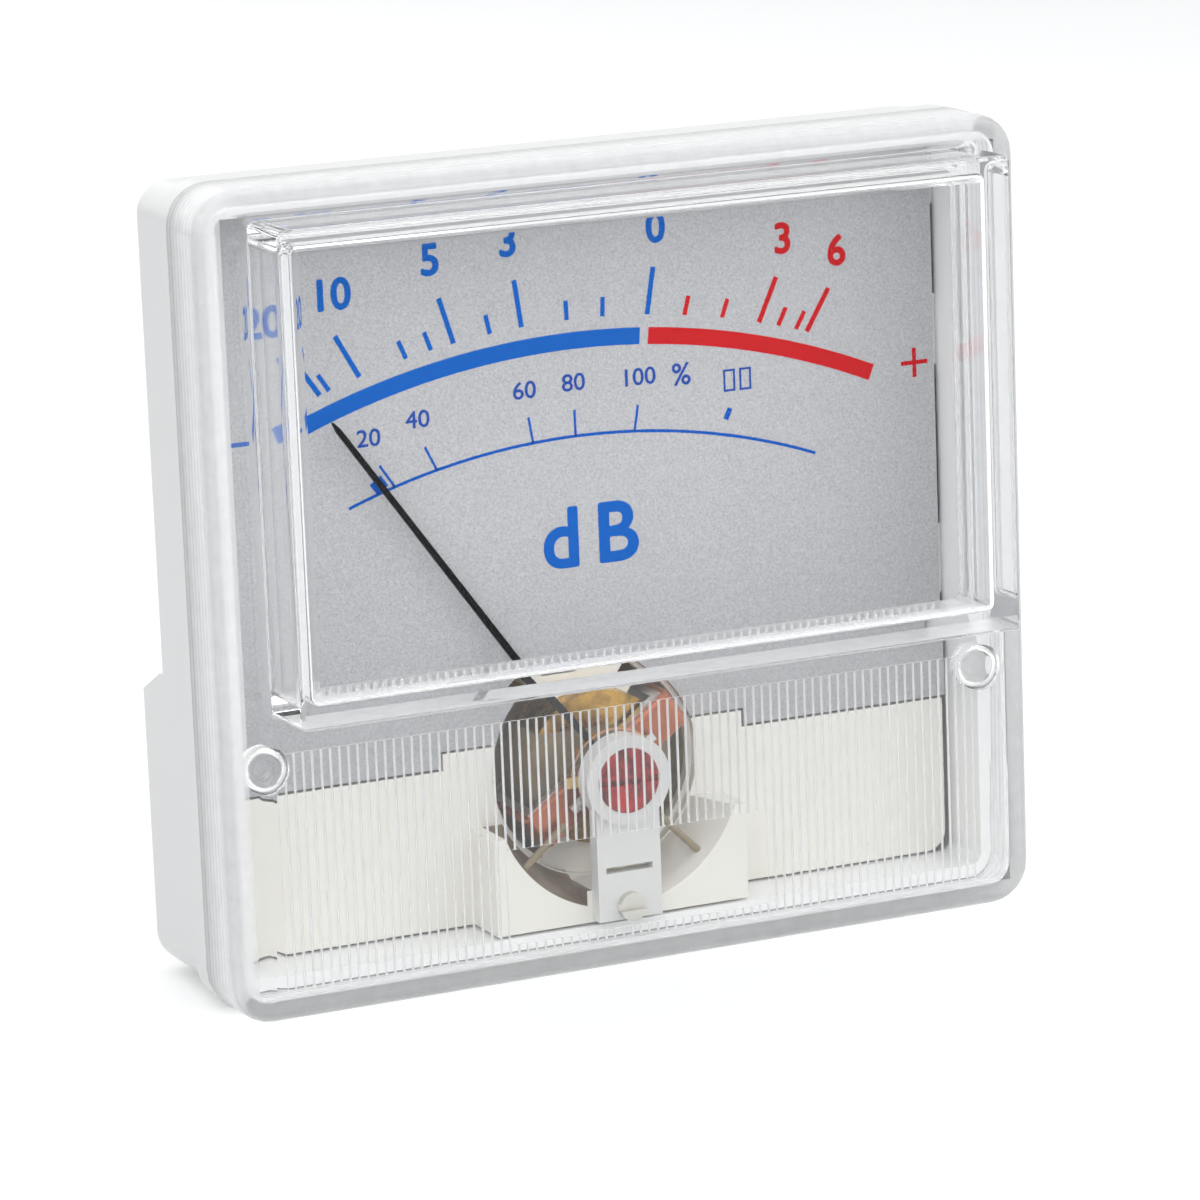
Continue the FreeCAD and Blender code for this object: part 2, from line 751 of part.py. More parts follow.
def bridge_screw():
    shaft = disc(bridge_screw_radius, bridge_front, foot_front + 2.0, 0, bridge_screw_z)
    head = disc(bridge_screw_head, bridge_front - 0.45, bridge_front, 0, bridge_screw_z)
    return slotted(shaft.fuse(head), bridge_front - 0.45, 1, 0, bridge_screw_z, 3.0)


def stop_pins():
    """Pins in the foot that the tail of the balance cross meets at each end of its travel."""
    clear = math.degrees((cross_arm_width / 2 + stop_radius + 0.03) / stop_reach)
    middle = (cross_front + hub_front) / 2
    pins = []
    for angle in (rest_angle - travel_below_rest - clear, rest_angle + travel_above_rest + clear):
        turn = math.radians(angle + 180)
        way = Vector(math.sin(turn), 0, math.cos(turn))
        start = way * stop_reach
        start.y = middle
        pins.append(Part.makeCylinder(stop_radius, stop_root - stop_reach, start, way))
    return pins


def spring_post_front():
    """Brass post under the front bridge that carries the outer end of the front hairspring."""
    x = -spring_outer if spring_half_turns % 2 else spring_outer
    arm = box(x - 0.55, -bridge_boss_radius + 0.6, bridge_back, bridge_back + 0.12, -0.3, 0.3)
    return arm.fuse(spring_stud(bridge_back + 0.1, spring_front_y + spring_height))


os.makedirs("parts", exist_ok=True)
magnet, shoes = core_solids()
front_tip = jewel_screw_back - jewel_cup_depth + pivot_tip_gap
rear_tip = rear_boss_front + 0.1 + jewel_cup_depth - pivot_tip_gap

write("front_cover", front_cover())
write("rear_case", rear_case())
write("dial_plate", dial_plate())
write("movement_frame", movement_frame())
write("front_bridge", front_bridge())
write("bridge_screw", bridge_screw())
write("movement_screws", movement_screw(-1), movement_screw(1))
write("core_magnet", magnet)
write("pole_shoes", *shoes)
write("yoke_ring", yoke_ring())
write("jewel_screw_front", jewel_screw_front())
write("jewel_front", jewel(jewel_screw_back - jewel_length, 1))
write("jewel_screw_rear", jewel_screw_rear())
write("jewel_rear", jewel(rear_boss_front + 0.1 + jewel_length, -1))
write("spring_post_front", spring_post_front())
write("stop_pins", *stop_pins())
write("terminals", terminal(-1), terminal(1))
write("zero_adjuster", zero_adjuster())
write("zero_regulator", zero_regulator())
write("coil_former", turned(coil_former(), rest_angle))
write("coil_winding", turned(coil_winding(), rest_angle))
write("pointer", turned(pointer(), rest_angle))
write("balance_cross", turned(balance_cross(), rest_angle))
write("balance_weights", *[turned(slug, rest_angle) for slug in balance_weights()])
write("hub_front", hub(hub_front, winding_front, hub_radius))
write("hub_rear", hub(winding_back, winding_back + 0.05, hub_radius))
write("collet_front", hub(spring_front_y, cross_front, collet_radius))
write("collet_rear", hub(winding_back + 0.05, winding_back + 0.05 + spring_height, collet_radius))
write("pivot_front", pivot(front_tip, winding_front))
write("pivot_rear", pivot(rear_tip, winding_back))
write("hairspring_front", hairspring(spring_front_y))
write("hairspring_rear", hairspring(spring_back_y))
print("least gap between hairspring turns", round(spring_gap(), 3), "mm")
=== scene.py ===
import json
import math

import bmesh
import bpy
from mathutils import Matrix, Vector


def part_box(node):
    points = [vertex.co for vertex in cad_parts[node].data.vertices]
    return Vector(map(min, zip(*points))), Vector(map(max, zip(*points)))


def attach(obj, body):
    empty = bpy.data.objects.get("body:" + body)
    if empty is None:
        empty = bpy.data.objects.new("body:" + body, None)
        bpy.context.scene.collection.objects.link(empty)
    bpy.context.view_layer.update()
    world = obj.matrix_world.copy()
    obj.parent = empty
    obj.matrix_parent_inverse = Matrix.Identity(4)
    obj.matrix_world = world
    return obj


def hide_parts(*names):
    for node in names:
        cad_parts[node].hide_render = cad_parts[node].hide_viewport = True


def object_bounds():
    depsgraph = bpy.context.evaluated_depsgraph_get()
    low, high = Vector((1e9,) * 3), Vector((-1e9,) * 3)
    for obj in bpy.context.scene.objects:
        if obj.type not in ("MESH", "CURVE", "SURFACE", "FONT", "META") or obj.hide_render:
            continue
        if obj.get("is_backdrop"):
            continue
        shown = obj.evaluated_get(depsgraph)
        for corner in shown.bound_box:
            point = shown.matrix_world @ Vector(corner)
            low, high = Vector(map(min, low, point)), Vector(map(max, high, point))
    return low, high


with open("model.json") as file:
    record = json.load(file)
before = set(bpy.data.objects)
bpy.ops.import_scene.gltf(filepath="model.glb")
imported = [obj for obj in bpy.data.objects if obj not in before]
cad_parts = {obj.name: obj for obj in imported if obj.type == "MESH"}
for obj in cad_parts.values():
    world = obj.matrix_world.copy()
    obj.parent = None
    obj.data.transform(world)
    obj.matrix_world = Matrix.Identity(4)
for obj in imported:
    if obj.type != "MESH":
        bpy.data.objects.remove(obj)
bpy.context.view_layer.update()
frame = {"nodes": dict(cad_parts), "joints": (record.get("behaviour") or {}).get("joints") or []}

bl_info = {
    "name": "Panel level meter",
    "version": (1, 0, 0),
    "blender": (4, 5, 0),
    "location": "View3D > Sidebar > Meter",
    "description": "Finishes a moving-coil level meter: clear cover, printed dial, movement and stage",
    "category": "Object",
}

MM = 0.001
joints = {joint["name"]: joint for joint in frame["joints"]}
AXIS = Vector(joints["pointer_swing"]["pos_m"])
COVER_LOW, COVER_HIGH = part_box("front_cover")
RIM_WIDTH = 0.0014
TOOL_LINES = 14000.0
LARGE_FACE = 0.000015
PANE_IOR = 1.15
PANE_DEPTH = 0.00105
SKIRT_START = 0.0048
FLUTE_START = COVER_LOW.y + 0.0054
FLUTE_ZONE = 0.0003
FLUTED_HALF = 0.021
SILL_HEIGHT = AXIS.z + 0.0073
SILL_HALF = 0.0007
WINDOW_HALF, WINDOW_LOW, WINDOW_HIGH = 21.2, 6.8, 33.0


def place(x, y, z):
    """A point given in millimetres from the pivot axis at the dial face, in the frame's metres."""
    return AXIS + Vector((x, y, z)) * MM


def millimetres(point):
    return (point - AXIS) / MM


class CoverSizes(bpy.types.PropertyGroup):
    """Sizes of the clear cover, in metres, beyond those that the frame gives."""

    wall: bpy.props.FloatProperty(
        name="Wall", description="Thickness of the moulded wall", default=0.001, unit="LENGTH")
    corner: bpy.props.FloatProperty(
        name="Corner", description="Radius of the outline's corners", default=0.0023, unit="LENGTH")
    edge: bpy.props.FloatProperty(
        name="Front edge", description="Rounding of the shoulder's outer edge", default=0.0008,
        unit="LENGTH")
    window_edge: bpy.props.FloatProperty(
        name="Window edge", description="Rounding of the window's front edges", default=0.00022,
        unit="LENGTH")
    window_corner: bpy.props.FloatProperty(
        name="Window corner", description="Radius of the window's corners", default=0.00035, unit="LENGTH")
    root: bpy.props.FloatProperty(
        name="Window root", description="Fillet where the window rises from the shoulder",
        default=0.0004, unit="LENGTH")
    rise: bpy.props.FloatProperty(
        name="Window rise", description="Height of the window above the shoulder", default=0.0045,
        unit="LENGTH")
    pitch: bpy.props.FloatProperty(
        name="Flute pitch", description="Distance from one groove to the next", default=0.00052, unit="LENGTH")
    relief: bpy.props.FloatProperty(
        name="Flute relief", description="Depth of a groove between two ribs", default=0.00012, unit="LENGTH")
    groove: bpy.props.FloatProperty(
        name="Groove width", description="Width of a groove at its mouth", default=0.00015, unit="LENGTH")


class DialPrint(bpy.types.PropertyGroup):
    """Colours and sizes of the printed scale."""

    ink_blue: bpy.props.FloatVectorProperty(
        name="Blue ink", description="Arc, ticks and numerals up to zero", subtype="COLOR", size=3,
        default=(0.0, 0.09, 0.4))
    ink_small: bpy.props.FloatVectorProperty(
        name="Thin blue ink", description="Small numerals and thin scale", subtype="COLOR", size=3,
        default=(0.015, 0.06, 0.3))
    ink_red: bpy.props.FloatVectorProperty(
        name="Red ink", description="Arc, ticks and numerals above zero", subtype="COLOR", size=3,
        default=(0.46, 0.006, 0.009))
    film: bpy.props.FloatProperty(
        name="Ink film", description="Height of the ink above the dial", default=0.000012, unit="LENGTH")
    numeral: bpy.props.FloatProperty(
        name="Numeral", description="Height of the large numerals", default=0.00178, unit="LENGTH")
    small_numeral: bpy.props.FloatProperty(
        name="Small numeral", description="Height of the percent numerals", default=0.00096, unit="LENGTH")
    unit_letters: bpy.props.FloatProperty(
        name="Unit letters", description="Height of the letters dB", default=0.0034, unit="LENGTH")


class StageLook(bpy.types.PropertyGroup):
    """Camera and light."""

    lens: bpy.props.FloatProperty(
        name="Lens", description="Focal length on a 36 mm sensor", default=167.44, subtype="DISTANCE_CAMERA")
    lamp: bpy.props.FloatProperty(
        name="Lamps", description="Strength of the soft lamps", default=0.285, subtype="FACTOR")


class Value:
    """A number on a material's socket, so that shader maths reads as Python expressions."""

    def __init__(self, sheet, socket):
        self.sheet = sheet
        self.socket = socket

    def _math(self, operation, *terms):
        links = {i: term.socket if isinstance(term, Value) else term for i, term in enumerate(terms)}
        return self.sheet.value("ShaderNodeMath", {"operation": operation}, links)

    def __add__(self, other):
        return self._math("ADD", self, other)

    __radd__ = __add__

    def __mul__(self, other):
        return self._math("MULTIPLY", self, other)

    __rmul__ = __mul__

    def __sub__(self, other):
        return self._math("SUBTRACT", self, other)

    def __rsub__(self, other):
        return self._math("SUBTRACT", other, self)

    def __truediv__(self, other):
        return self._math("DIVIDE", self, other)

    def above(self, limit):
        return self._math("GREATER_THAN", self, limit)

    def sine(self):
        return self._math("SINE", self)

    def absolute(self):
        return self._math("ABSOLUTE", self)

    def power(self, exponent):
        return self._math("POWER", self, exponent)

    def larger(self, other):
        return self._math("MAXIMUM", self, other)

    def smaller(self, other):
        return self._math("MINIMUM", self, other)


class Sheet:
    """One material's node tree, filled by node() and by expressions on Value."""

    def __init__(self, name):
        self.material = bpy.data.materials.new(name)
        self.material.use_nodes = True
        self.nodes = self.material.node_tree.nodes
        self.links = self.material.node_tree.links
        self.nodes.clear()
        self.end = self.nodes.new("ShaderNodeOutputMaterial")

    def node(self, kind, settings=None, sockets=None):
        made = self.nodes.new(kind)
        for key, setting in (settings or {}).items():
            if key == "stops":
                self._stops(made.color_ramp, setting)
            else:
                setattr(made, key, setting)
        for key, source in (sockets or {}).items():
            self.feed(made.inputs[key], source)
        return made

    def feed(self, socket, source):
        if isinstance(source, Value):
            source = source.socket
        if isinstance(source, bpy.types.NodeSocket):
            self.links.new(source, socket)
        else:
            socket.default_value = source

    def _stops(self, ramp, stops):
        while len(ramp.elements) < len(stops):
            ramp.elements.new(1.0)
        for element, (position, colour) in zip(ramp.elements, stops):
            element.position = position
            element.color = colour

    def value(self, kind, settings=None, sockets=None, output=0):
        return Value(self, self.node(kind, settings, sockets).outputs[output])

    def noise(self, scale, detail=2.0, roughness=0.5, stretch=(1, 1, 1)):
        """Noise from 0 to 1 in the piece's own coordinates; scale is in grains for each metre."""
        place_of = self.node("ShaderNodeTexCoord").outputs["Object"]
        scaled = self.node("ShaderNodeVectorMath", {"operation": "MULTIPLY"}, {0: place_of, 1: stretch})
        found = self.node("ShaderNodeTexNoise", {}, {
            "Vector": scaled.outputs[0], "Scale": scale, "Detail": detail, "Roughness": roughness})
        return Value(self, found.outputs["Fac"])

    def along(self, axis):
        """Position along x, y or z in metres."""
        place_of = self.node("ShaderNodeTexCoord").outputs["Object"]
        split = self.node("ShaderNodeSeparateXYZ", {}, {0: place_of})
        return Value(self, split.outputs["XYZ".index(axis)])

    def facing(self, axis):
        """How far the surface faces along x, y or z, from -1 to 1."""
        normal = self.node("ShaderNodeNewGeometry").outputs["Normal"]
        split = self.node("ShaderNodeSeparateXYZ", {}, {0: normal})
        return Value(self, split.outputs["XYZ".index(axis)])

    def mixed(self, share, first, second):
        """Colour that goes from first to second as share goes from 0 to 1."""
        made = self.node("ShaderNodeMix", {"data_type": "RGBA"})
        self.feed(made.inputs[0], share)
        self.feed(made.inputs[6], first if isinstance(first, bpy.types.NodeSocket) else (*first, 1))
        self.feed(made.inputs[7], second if isinstance(second, bpy.types.NodeSocket) else (*second, 1))
        return made.outputs[2]

    def bump(self, height, distance, strength=1.0):
        made = self.node("ShaderNodeBump", {}, {"Distance": distance, "Strength": strength})
        self.feed(made.inputs["Height"], height)
        return made.outputs["Normal"]

    def surface(self, **sockets):
        """Principled shader; underscores in a name stand for spaces."""
        made = self.node("ShaderNodeBsdfPrincipled")
        for key, source in sockets.items():
            if key == "Base_Color" and isinstance(source, tuple):
                source = (*source, 1)
            self.feed(made.inputs[key.replace("_", " ")], source)
        return made.outputs[0]

    def finish(self, shader):
        self.links.new(shader, self.end.inputs["Surface"])
        return self.material


def milky_and_highlight_share(sheet, lines, cloud):
    """How milky the cover is: its rim, frosted and whitened further as painted light; the grooves and ends of
    the flutes, whose white is a painted highlight; the window's lower wall.
    """
    across, deep, high = sheet.along("X"), sheet.along("Y"), sheet.along("Z")
    sideways = sheet.facing("X").absolute().above(0.3)
    upright = sheet.facing("Z").absolute().above(0.5)
    # the rim is partly frosted and partly painted light: its milky white stands in for the bright light
    # refracted through the edge
    rim = (across.absolute().above(COVER_HIGH.x - RIM_WIDTH)).larger(
        high.above(COVER_HIGH.z - RIM_WIDTH)).larger(1 - high.above(COVER_LOW.z + RIM_WIDTH))
    flute = deep.above(FLUTE_START) * (1 - deep.above(FLUTE_START + FLUTE_ZONE))
    # painted highlight: the flute grooves are made milky white to stand for the bright light they refract
    groove = sideways.larger(upright) * flute * (1 - across.absolute().above(FLUTED_HALF))
    sill = (1 - (high - SILL_HEIGHT).absolute().above(SILL_HALF)) * upright * (1 - deep.above(FLUTE_START))
    return (rim * (0.5 + lines * 0.12)).larger(groove * 0.75).larger(sill * 0.4) * (0.85 + cloud * 0.3)


def clear_plastic():
    """Injection-moulded clear plastic: polished window, milky rim with fine tool lines on its walls; the rim's
    and grooves' milky white is partly painted light.
    """
    sheet = Sheet("clear_plastic")
    deep = sheet.along("Y")
    towards = sheet.facing("Y").absolute()
    wall = (1 - towards.above(0.6)) * deep.above(COVER_LOW.y + SKIRT_START)
    lines = (deep * TOOL_LINES).sine() * 0.5 + 0.5
    cloud = sheet.noise(900.0, 3.0, 0.6)
    ripple = sheet.noise(60.0, 1.0, 0.4)
    dust = sheet.noise(5200.0, 2.0, 0.6)
    height = lines * wall * 0.5 + ripple + dust * 0.05
    moulded = sheet.surface(
        Base_Color=(0.985, 0.99, 0.995), Roughness=0.02 + wall * 0.22 + dust * 0.02, IOR=1.5,
        Specular_IOR_Level=0.2, Transmission_Weight=1.0, Normal=sheet.bump(height, 0.000014))
    clear = sheet.surface(
        Base_Color=(0.985, 0.99, 0.995), Roughness=0.02, IOR=PANE_IOR, Transmission_Weight=1.0,
        Normal=sheet.bump(dust, 0.000001))
    pane = (1 - deep.above(COVER_LOW.y + PANE_DEPTH)) * towards.above(0.995)
    polished = sheet.node("ShaderNodeMixShader", {}, {0: pane, 1: moulded, 2: clear})
    milky = sheet.surface(
        Base_Color=(0.97, 0.975, 0.975), Roughness=0.45,
        Normal=sheet.bump(lines + cloud * 0.4, 0.00001))
    share = milky_and_highlight_share(sheet, lines, cloud)
    body = sheet.node("ShaderNodeMixShader", {}, {0: share, 1: polished.outputs[0], 2: milky})
    lamps_pass = sheet.node("ShaderNodeBsdfTransparent", {}, {"Color": (0.95, 0.955, 0.96, 1)})
    rays = sheet.node("ShaderNodeLightPath").outputs["Is Shadow Ray"]
    both = sheet.node("ShaderNodeMixShader", {}, {0: rays, 1: body.outputs[0], 2: lamps_pass.outputs[0]})
    return sheet.finish(both.outputs[0])


def plastic(name, colour, rough=0.42, grain=2600.0, depth=0.000006, mottle=0.04, cloud=140.0):
    """Opaque moulded plastic with a fine spark-eroded grain and slight colour drift."""
    sheet = Sheet(name)
    fine = sheet.noise(grain, 4.0, 0.55)
    drift = sheet.noise(cloud, 2.0, 0.5)
    darker = tuple(part * (1 - mottle * 3) for part in colour)
    return sheet.finish(sheet.surface(
        Base_Color=sheet.mixed(drift * 0.5 + fine * 0.3, colour, darker),
        Roughness=fine * 0.16 + (rough - 0.08),
        Normal=sheet.bump(fine, depth)))


def metal(name, colour, rough=0.3, brushed=(1, 1, 1), grain=3000.0, tarnish=(0.3, 0.22, 0.12),
          patches=700.0, worn=0.25, depth=0.000004):
    """Bare or plated metal: drawn or turned grain, patches of duller tone."""
    sheet = Sheet(name)
    lines = sheet.noise(grain, 3.0, 0.6, brushed)
    spots = sheet.noise(patches, 3.0, 0.6)
    share = (spots - 0.42).larger(0.0) * worn * 4.0
    return sheet.finish(sheet.surface(
        Base_Color=sheet.mixed(share.smaller(1.0), colour, tarnish),
        Metallic=1.0,
        Roughness=lines * 0.18 + (rough - 0.09) + share * 0.2,
        Normal=sheet.bump(lines, depth)))


def paint(name, colour, rough=0.4, speck=5200.0, depth=0.000005, variation=0.1, gloss=0.5):
    """Thin paint or lacquer over metal, with fine orange peel."""
    sheet = Sheet(name)
    peel = sheet.noise(speck, 3.0, 0.55)
    drift = sheet.noise(420.0, 2.0, 0.5)
    darker = tuple(part * (1 - variation) for part in colour)
    return sheet.finish(sheet.surface(
        Base_Color=sheet.mixed(drift, colour, darker),
        Roughness=peel * 0.14 + (rough - 0.07),
        Specular_IOR_Level=gloss,
        Normal=sheet.bump(peel, depth)))


def dial_paint():
    """Silver-grey paint with fine flake: bright and dark grains over an even tone."""
    sheet = Sheet("dial_paint")
    flake = sheet.noise(16000.0, 1.0, 0.5)
    grain = sheet.noise(7000.0, 2.0, 0.7)
    tone = sheet.noise(90.0, 1.0, 0.5)
    share = (flake - 0.5) * 1.9 + (grain - 0.5) * 1.5 + 0.5 + (tone - 0.5) * 0.12
    return sheet.finish(sheet.surface(
        Base_Color=sheet.mixed(share.smaller(1.0).larger(0.0), (0.355, 0.358, 0.372), (0.525, 0.527, 0.54)),
        Metallic=flake * 0.1,
        Roughness=0.62 - flake * 0.2,
        Specular_IOR_Level=0.25,
        Normal=sheet.bump(grain, 0.000006)))


def copper_wire():
    """Enamelled winding: the turns show as fine ridges round the bundle."""
    sheet = Sheet("enamelled_copper")
    across = sheet.noise(2600.0, 2.0, 0.6, (1.0, 0.25, 1.0))
    spots = sheet.noise(900.0, 2.0, 0.5)
    return sheet.finish(sheet.surface(
        Base_Color=sheet.mixed(spots, (0.52, 0.17, 0.075), (0.34, 0.085, 0.04)),
        Metallic=0.75,
        Roughness=across * 0.2 + 0.22,
        Coat_Weight=0.3,
        Normal=sheet.bump(across, 0.00002)))


def red_lacquer():
    """Dark red thread lock over a steel screw: uneven, wet-looking, nearly black in its pools."""
    sheet = Sheet("red_lacquer")
    pool = sheet.noise(1500.0, 3.0, 0.6)
    streak = sheet.noise(1900.0, 2.0, 0.7, (1.0, 1.0, 0.35))
    share = ((pool - 0.45) * 3.0 + (streak - 0.5) * 2.5 + 0.35).smaller(1.0).larger(0.0)
    return sheet.finish(sheet.surface(
        Base_Color=sheet.mixed(share, (0.5, 0.012, 0.018), (0.1, 0.004, 0.007)),
        Roughness=pool * 0.3 + 0.2,
        Normal=sheet.bump(pool, 0.00008)))


def frame_plastic():
    """Ivory moulding, with painted brown-dark shade on the slopes low in its round mouth, at the lower left.
    """
    sheet = Sheet("ivory_frame")
    fine = sheet.noise(2600.0, 4.0, 0.55)
    drift = sheet.noise(300.0, 3.0, 0.6)
    across = (sheet.along("X") - AXIS.x) / MM
    up = (sheet.along("Z") - AXIS.z) / MM
    mouth = 1 - (across * across + up * up).above(7.38 ** 2)
    slope = 1 - sheet.facing("Y").absolute().above(0.97)
    low_left = (1 - across.above(-1.9)) * (1 - up.above(-2.4))
    # painted shade: the sloped wall low at the left of the mouth is darkened brown where it lies in shade
    painted_shade = mouth * slope * low_left * (0.55 + drift * 0.7)
    tone = sheet.mixed(drift * 0.4 + fine * 0.3, (0.86, 0.85, 0.8), (0.8, 0.77, 0.69))
    return sheet.finish(sheet.surface(
        Base_Color=sheet.mixed(painted_shade.smaller(1.0), tone, (0.13, 0.075, 0.03)),
        Roughness=fine * 0.16 + 0.36,
        Normal=sheet.bump(fine, 0.000006)))


def plated_yoke():
    """Yellow-passivated steel ring; a patch at its top, behind the notch in the web, is painted near black as
    the shade of the dark gap there.
    """
    sheet = Sheet("yoke_steel")
    spots = sheet.noise(700.0, 4.0, 0.65)
    turned = sheet.noise(2600.0, 2.0, 0.6, (1.0, 0.3, 1.0))
    up = (sheet.along("Z") - AXIS.z) / MM
    across = (sheet.along("X") - AXIS.x) / MM
    # painted shade: the ring's top behind the web's notch is made near black to stand for the dark gap seen
    # there
    notch_shade = up.above(4.6) * across.above(-1.85) * (1 - across.above(0.25))
    share = ((spots - 0.4) * 3.0).smaller(1.0).larger(0.0)
    tone = sheet.mixed(share, (0.62, 0.53, 0.33), (0.3, 0.21, 0.09))
    return sheet.finish(sheet.surface(
        Base_Color=sheet.mixed(notch_shade, tone, (0.02, 0.02, 0.022)),
        Metallic=(1 - notch_shade) * 0.6,
        Roughness=turned * 0.2 + 0.28,
        Normal=sheet.bump(turned, 0.000005)))


def ink(name, colour):
    """Screen-printed ink: matt film with a slightly uneven edge of tone."""
    sheet = Sheet(name)
    film = sheet.noise(6000.0, 2.0, 0.6)
    paler = tuple(part * 1.25 + 0.002 for part in colour)
    return sheet.finish(sheet.surface(
        Base_Color=sheet.mixed(film, colour, paler),
        Roughness=film * 0.2 + 0.4,
        Specular_IOR_Level=0.12,
        Normal=sheet.bump(film, 0.000003)))


def node_materials():
    """Finish of each CAD node that stays as packed."""
    brass = metal("turned_brass", (0.72, 0.5, 0.2), 0.28)
    steel = metal("pivot_steel", (0.66, 0.66, 0.68), 0.16, tarnish=(0.4, 0.38, 0.36))
    zinc = metal("zinc_screws", (0.72, 0.71, 0.66), 0.32, tarnish=(0.5, 0.47, 0.38))
    stone = paint("jewel_stone", (0.5, 0.03, 0.1), 0.12)
    resin = plastic("hub_resin", (0.1, 0.06, 0.035), 0.35)
    bronze = metal("bronze_strip", (0.7, 0.42, 0.24), 0.22, worn=0.15)
    return {
        "rear_case": plastic("white_case", (0.91, 0.915, 0.91), 0.34, mottle=0.015, cloud=60.0),
        "dial_plate": dial_paint(),
        "movement_frame": frame_plastic(),
        "front_bridge": plastic("white_bridge", (0.74, 0.745, 0.73), 0.4),
        "bridge_screw": zinc,
        "movement_screws": zinc,
        "core_magnet": paint("magnet_alloy", (0.36, 0.27, 0.16), 0.42, speck=1800.0, variation=0.75),
        "pole_shoes": metal("pole_iron", (0.62, 0.36, 0.08), 0.26, tarnish=(0.16, 0.12, 0.04),
                            worn=0.8),
        "yoke_ring": plated_yoke(),
        "jewel_screw_front": red_lacquer(),
        "jewel_front": stone,
        "jewel_screw_rear": brass,
        "jewel_rear": stone,
        "spring_post_front": brass,
        "stop_pins": paint("pin_lacquer", (0.3, 0.24, 0.15), 0.5),
        "terminals": metal("tinned_tabs", (0.76, 0.75, 0.71), 0.34, tarnish=(0.55, 0.53, 0.48)),
        "zero_adjuster": plastic("black_plastic", (0.02, 0.02, 0.021), 0.36),
        "zero_regulator": bronze,
        "coil_former": metal("former_alloy", (0.78, 0.78, 0.79), 0.3, tarnish=(0.5, 0.5, 0.5)),
        "coil_winding": copper_wire(),
        "pointer": paint("pointer_black", (0.006, 0.006, 0.007), 0.5, gloss=0.1),
        "balance_cross": metal("cross_metal", (0.7, 0.7, 0.68), 0.35, tarnish=(0.5, 0.5, 0.48)),
        "balance_weights": metal("solder", (0.5, 0.5, 0.5), 0.4, tarnish=(0.32, 0.32, 0.33)),
        "hub_front": resin,
        "hub_rear": resin,
        "collet_front": brass,
        "collet_rear": brass,
        "pivot_front": steel,
        "pivot_rear": steel,
        "hairspring_front": bronze,
        "hairspring_rear": bronze,
    }


def dress(obj, material):
    """Put one material on every slot of a mesh."""
    if not obj.data.materials:
        obj.data.materials.append(material)
    for slot in obj.material_slots:
        slot.material = material
    return obj


def new_mesh(name, mesh_maker):
    """Object from a function that fills a bmesh."""
    bm = bmesh.new()
    mesh_maker(bm)
    mesh = bpy.data.meshes.new(name)
    bm.to_mesh(mesh)
    bm.free()
    obj = bpy.data.objects.new(name, mesh)
    bpy.context.scene.collection.objects.link(obj)
    return obj


def smooth_by_angle(obj, degrees, flat_area):
    """Smooth faces, with sharper edges crisp and large faces truly flat, so that they don't bend light."""
    obj.data.set_sharp_from_angle(angle=math.radians(degrees))
    for polygon in obj.data.polygons:
        polygon.use_smooth = polygon.area < flat_area


def ring_of(half, low, high, radius, y, steps=6):
    """Rounded rectangle at one depth, in millimetres from the pivot axis."""
    points = []
    for turn, (cx, cz) in enumerate((
            (half - radius, high - radius), (-half + radius, high - radius),
            (-half + radius, low + radius), (half - radius, low + radius))):
        for step in range(steps + 1):
            angle = math.pi / 2 * (turn + step / steps)
            points.append(place(cx + radius * math.cos(angle), y, cz + radius * math.sin(angle)))
    return points


def loft(bm, rings, cap_last=False):
    """Quads between rings of the same length; returns the rings' vertices."""
    made = [[bm.verts.new(point) for point in ring] for ring in rings]
    for near, far in zip(made, made[1:]):
        for i, corner in enumerate(near):
            after = (i + 1) % len(near)
            bm.faces.new((corner, near[after], far[after], far[i]))
    if cap_last:
        bm.faces.new(made[-1])
    return made


